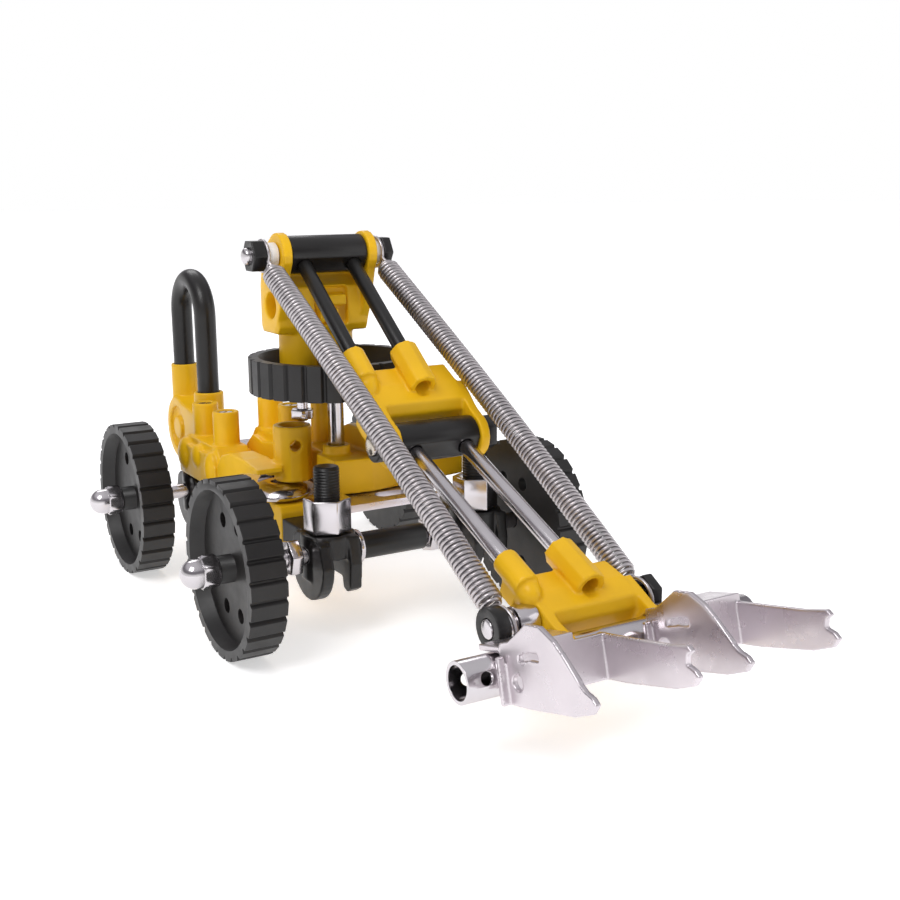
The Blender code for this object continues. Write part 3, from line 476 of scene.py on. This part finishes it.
# domed and chamfered steel ends
def bolt_end(name, x, y, z, r, out, height, body, mat):
    prof = [(0, height)] + [(r * math.sin(math.radians(t)), height * math.cos(math.radians(t))) for t in range(15, 91, 15)] + [(r, -0.4), (0, -0.4)]
    me = turned(name, prof, 32)
    rot = Matrix.Rotation(math.pi / 2 * out, 4, "Y")
    return place(name, moved(me, Matrix.Translation((x, y, z)) @ rot), body, mat, smooth_angle=50)


slo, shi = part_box("shoulder_bolt")
bolt_end("shoulder_bolt_dome", slo.x, (slo.y + shi.y) / 2, (slo.z + shi.z) / 2, 2.0, -1, 1.1, "turret", CHROME)
elo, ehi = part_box("elbow_bolt")
bolt_end("elbow_bolt_dome", elo.x, (elo.y + ehi.y) / 2, (elo.z + ehi.z) / 2, 1.98, -1, 0.5, "boom", RAW)
hlo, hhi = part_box("hook_bolt")
bolt_end("hook_bolt_dome", hlo.x, (hlo.y + hhi.y) / 2, (hlo.z + hhi.z) / 2, 1.98, -1, 0.5, "stick", CHROME)

# bevels on the machined metal and the small black pieces
for node in ("clevis_nut_front_left", "clevis_nut_front_right", "axle_nut_left", "axle_nut_right", "turret_stud_nut",
             "shoulder_nut_left", "shoulder_nut_right", "elbow_nut", "hook_nut_right", "hook_cap_left", "elbow_washer",
             "slotted_deck_bar", "axle_washer"):
    bevelled(node, 0.0003, 2)
bevelled("cross_tube", 0.00018, 2)
bevelled("turntable", 0.00022, 1)


def road_wheel(node):
    """The wheel's disc stands nearer the rim than in its collision solid."""
    me = NODES[node].data
    lo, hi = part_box(node)
    sgn = 1 if (lo.x + hi.x) > 0 else -1
    face = hi.x if sgn > 0 else lo.x
    out = welded_copy(node)
    world = NODES[node].matrix_world
    back = world.inverted()
    cy, cz = (lo.y + hi.y) / 2, (lo.z + hi.z) / 2
    for v in out.vertices:
        p = world @ v.co
        depth = abs(face - p.x)
        ry, rz = p.y - cy, p.z - cz
        rad = math.hypot(ry, rz)
        if 0.0036 < rad < 0.0042:
            k = 0.0033 / rad
            p.y, p.z = cy + ry * k, cz + rz * k
        if 0.0048 < depth < 0.0060 and rad < 0.0190:
            p.x = face - sgn * 0.0036
        v.co = back @ p
    ob = bpy.data.objects.new(node + "_raw", out)
    bpy.context.scene.collection.objects.link(ob)
    ob.matrix_world = world
    d = ob.modifiers.new("flat", "DECIMATE")
    d.decimate_type = "DISSOLVE"
    d.angle_limit = math.radians(0.6)
    b = ob.modifiers.new("bevel", "BEVEL")
    b.width = 0.00022
    b.segments = 1
    b.limit_method = "ANGLE"
    b.angle_limit = math.radians(28)
    b.use_clamp_overlap = True
    done = evaluated(ob)
    place(node + "_drum", done, BODY[node], TYRE, (node,), smooth_angle=28)


for node in ("wheel_front_left", "wheel_front_right", "wheel_rear_left", "wheel_rear_right"):
    road_wheel(node)


def hex_turned(name, rows, corner, seg=72, bore=None):
    """A hexagon whose corners are cut by a cone: rows of (z, largest radius, hexagonal?)."""
    bm = bmesh.new()
    rings = []
    for z, cap, is_hex in rows:
        if cap < 1e-6:
            rings.append([bm.verts.new((0, 0, z * MM))])
            continue
        line = []
        for i in range(seg):
            a = 2 * math.pi * i / seg
            off = (math.degrees(a) + 30) % 60 - 30
            r = corner * math.cos(math.radians(30)) / math.cos(math.radians(30 - abs(off))) if is_hex else cap
            r = min(r, cap)
            line.append(bm.verts.new((r * MM * math.cos(a), r * MM * math.sin(a), z * MM)))
        rings.append(line)
    for a, b in zip(rings, rings[1:]):
        for i in range(seg):
            j = (i + 1) % seg
            if len(a) == 1:
                bm.faces.new((a[0], b[i], b[j]))
            elif len(b) == 1:
                bm.faces.new((a[i], b[0], a[j]))
            else:
                bm.faces.new((a[i], b[i], b[j], a[j]))
    bmesh.ops.recalc_face_normals(bm, faces=bm.faces)
    me = bpy.data.meshes.new(name)
    bm.to_mesh(me)
    bm.free()
    return me


for tag in ("front", "rear"):
    for sgn, side_name in ((-1, "left"), (1, "right")):
        node = "acorn_nut_%s_%s" % (tag, side_name)
        lo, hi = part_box(node)
        rows = [(0, 0, False), (0, 3.7, False), (0.02, 3.8, True), (0.45, 4.15, True), (3.1, 4.15, True), (3.55, 3.75, True),
                (3.7, 3.5, False), (4.9, 3.45, False)]
        rows += [(4.9 + 3.45 * math.sin(math.radians(t)), 3.45 * math.cos(math.radians(t)), False) for t in range(9, 90, 9)]
        rows += [(8.36, 0, False)]
        me = hex_turned(node + "_dome", rows, 4.15)
        base = lo.x if sgn > 0 else hi.x
        mat = Matrix.Translation((base, (lo.y + hi.y) / 2, (lo.z + hi.z) / 2)) @ Matrix.Rotation(math.pi / 2 * sgn, 4, "Y")
        place(node + "_dome", moved(me, mat), BODY[node], CHROME, (node,), smooth_angle=30)

# smooth sides on what is turned
for node in ("axle_front", "axle_rear", "axle_spacer_tube", "dome_washer", "shoulder_barrel", "elbow_barrel",
             "boom_rod_left", "boom_rod_right", "stick_rod_left", "stick_rod_right", "elbow_bolt", "hook_bolt",
             "hook_collar_left", "shoulder_bolt", "shoulder_collar_left", "shoulder_collar_right", "turntable_pin",
             "turret_stud_left", "turret_stud_right"):
    bevelled(node, 0.00015, 2, angle=32.0)

# the black U-shaped tube, round and even
ulo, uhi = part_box("u_tube")
ux = (ulo.x + uhi.x) / 2
ur = (uhi.x - ulo.x) / 2
ya, yb = uhi.y - ur, ulo.y + ur
yc, uh = (ya + yb) / 2, (ya - yb) / 2
zc = uhi.z - ur - uh
foot_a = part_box("rear_socket_block")[1].z - 12.6 * MM
foot_b = foot_a - 5.9 * MM
pts = [Vector((ux, ya, foot_a + (zc - foot_a) * k / 14)) for k in range(15)]
pts += [Vector((ux, yc + uh * math.cos(math.radians(t)), zc + uh * math.sin(math.radians(t)))) for t in range(5, 180, 5)]
pts += [Vector((ux, yb, zc - (zc - foot_b) * k / 14)) for k in range(15)]
place("u_tube_round", tube_along("u_tube_round", pts, ur, 32), "chassis", BLACK, ("u_tube",), smooth_angle=60)

# ---------------------------------------------------------------- studio
def floor():
    me = bpy.data.meshes.new("floor")
    bm = bmesh.new()
    bmesh.ops.create_grid(bm, x_segments=1, y_segments=1, size=6.0)
    bm.to_mesh(me)
    bm.free()
    ob = bpy.data.objects.new("floor", me)
    ob.location = (0, 0, -0.00002)
    bpy.context.scene.collection.objects.link(ob)
    m = bpy.data.materials.new("floor_paper")
    m.use_nodes = True
    nt = m.node_tree
    b = nt.nodes["Principled BSDF"]
    n = nt.nodes.new("ShaderNodeTexNoise")
    n.inputs["Scale"].default_value = 4.0
    r = nt.nodes.new("ShaderNodeValToRGB")
    r.color_ramp.elements[0].color = (0.90, 0.90, 0.90, 1)
    r.color_ramp.elements[1].color = (0.94, 0.94, 0.94, 1)
    nt.links.new(n.outputs["Fac"], r.inputs["Fac"])
    nt.links.new(r.outputs["Color"], b.inputs["Base Color"])
    b.inputs["Roughness"].default_value = 0.9
    b.inputs["Specular IOR Level"].default_value = 0.1
    b.inputs["Emission Color"].default_value = (1, 1, 1, 1)
    b.inputs["Emission Strength"].default_value = 0.52
    me.materials.append(m)


floor()


def area(name, loc, target, size, energy, colour=(1, 1, 1)):
    li = bpy.data.lights.new(name, "AREA")
    li.shape = "RECTANGLE"
    li.size, li.size_y = size
    li.energy = energy
    li.color = colour
    ob = bpy.data.objects.new(name, li)
    ob.location = loc
    d = Vector(target) - Vector(loc)
    ob.rotation_euler = d.to_track_quat("-Z", "Y").to_euler()
    bpy.context.scene.collection.objects.link(ob)
    return ob


area("key_light", (-0.55, -0.35, 0.85), (0, 0, 0.03), (0.45, 0.45), 4.2)
area("fill_light", (0.7, -0.6, 0.45), (0, 0, 0.03), (0.5, 0.5), 0.8)
area("back_light", (0.1, 0.9, 0.8), (0, 0, 0.03), (0.6, 0.4), 2.0)

world = bpy.data.worlds.new("studio")
bpy.context.scene.world = world
world.use_nodes = True
nt = world.node_tree
bg = nt.nodes["Background"]
tc = nt.nodes.new("ShaderNodeTexCoord")
sep = nt.nodes.new("ShaderNodeSeparateXYZ")
ramp = nt.nodes.new("ShaderNodeValToRGB")
nt.links.new(tc.outputs["Generated"], sep.inputs["Vector"])
nt.links.new(sep.outputs["Z"], ramp.inputs["Fac"])
cr = ramp.color_ramp
cr.elements[0].position = 0.0
cr.elements[0].color = (1, 1, 1, 1)
cr.elements[1].position = 1.0
cr.elements[1].color = (0.70, 0.70, 0.72, 1)
for pos, c in ((0.14, (1, 1, 1)), (0.30, (0.20, 0.19, 0.21)), (0.50, (0.24, 0.23, 0.25)), (0.66, (0.62, 0.61, 0.64))):
    e = cr.elements.new(pos)
    e.color = (*c, 1)
nt.links.new(ramp.outputs["Color"], bg.inputs["Color"])
bg.inputs["Strength"].default_value = 1.0

# ---------------------------------------------------------------- camera
cam_data = bpy.data.cameras.new("camera")
cam = bpy.data.objects.new("camera", cam_data)
bpy.context.scene.collection.objects.link(cam)
cam_data.lens = 1212.893 / 900 * 36
cam_data.sensor_width = 36
cam_data.clip_start = 0.01
cam_data.clip_end = 50
right = Vector((0.85794484, -0.51370134, -0.00644884))
upv = Vector((0.11453182, 0.1790154, 0.97715708))
fwd = Vector((0.50081245, 0.83908547, -0.21242049))
rot = Matrix((right, upv, -fwd)).transposed()
cam.matrix_world = Matrix.Translation(Vector((-134.493, -254.306 + FA_Y, 106.182)) * MM) @ rot.to_4x4()
bpy.context.scene.camera = cam
bpy.context.scene.view_settings.view_transform = "Standard"
bpy.context.scene.view_settings.look = "None"
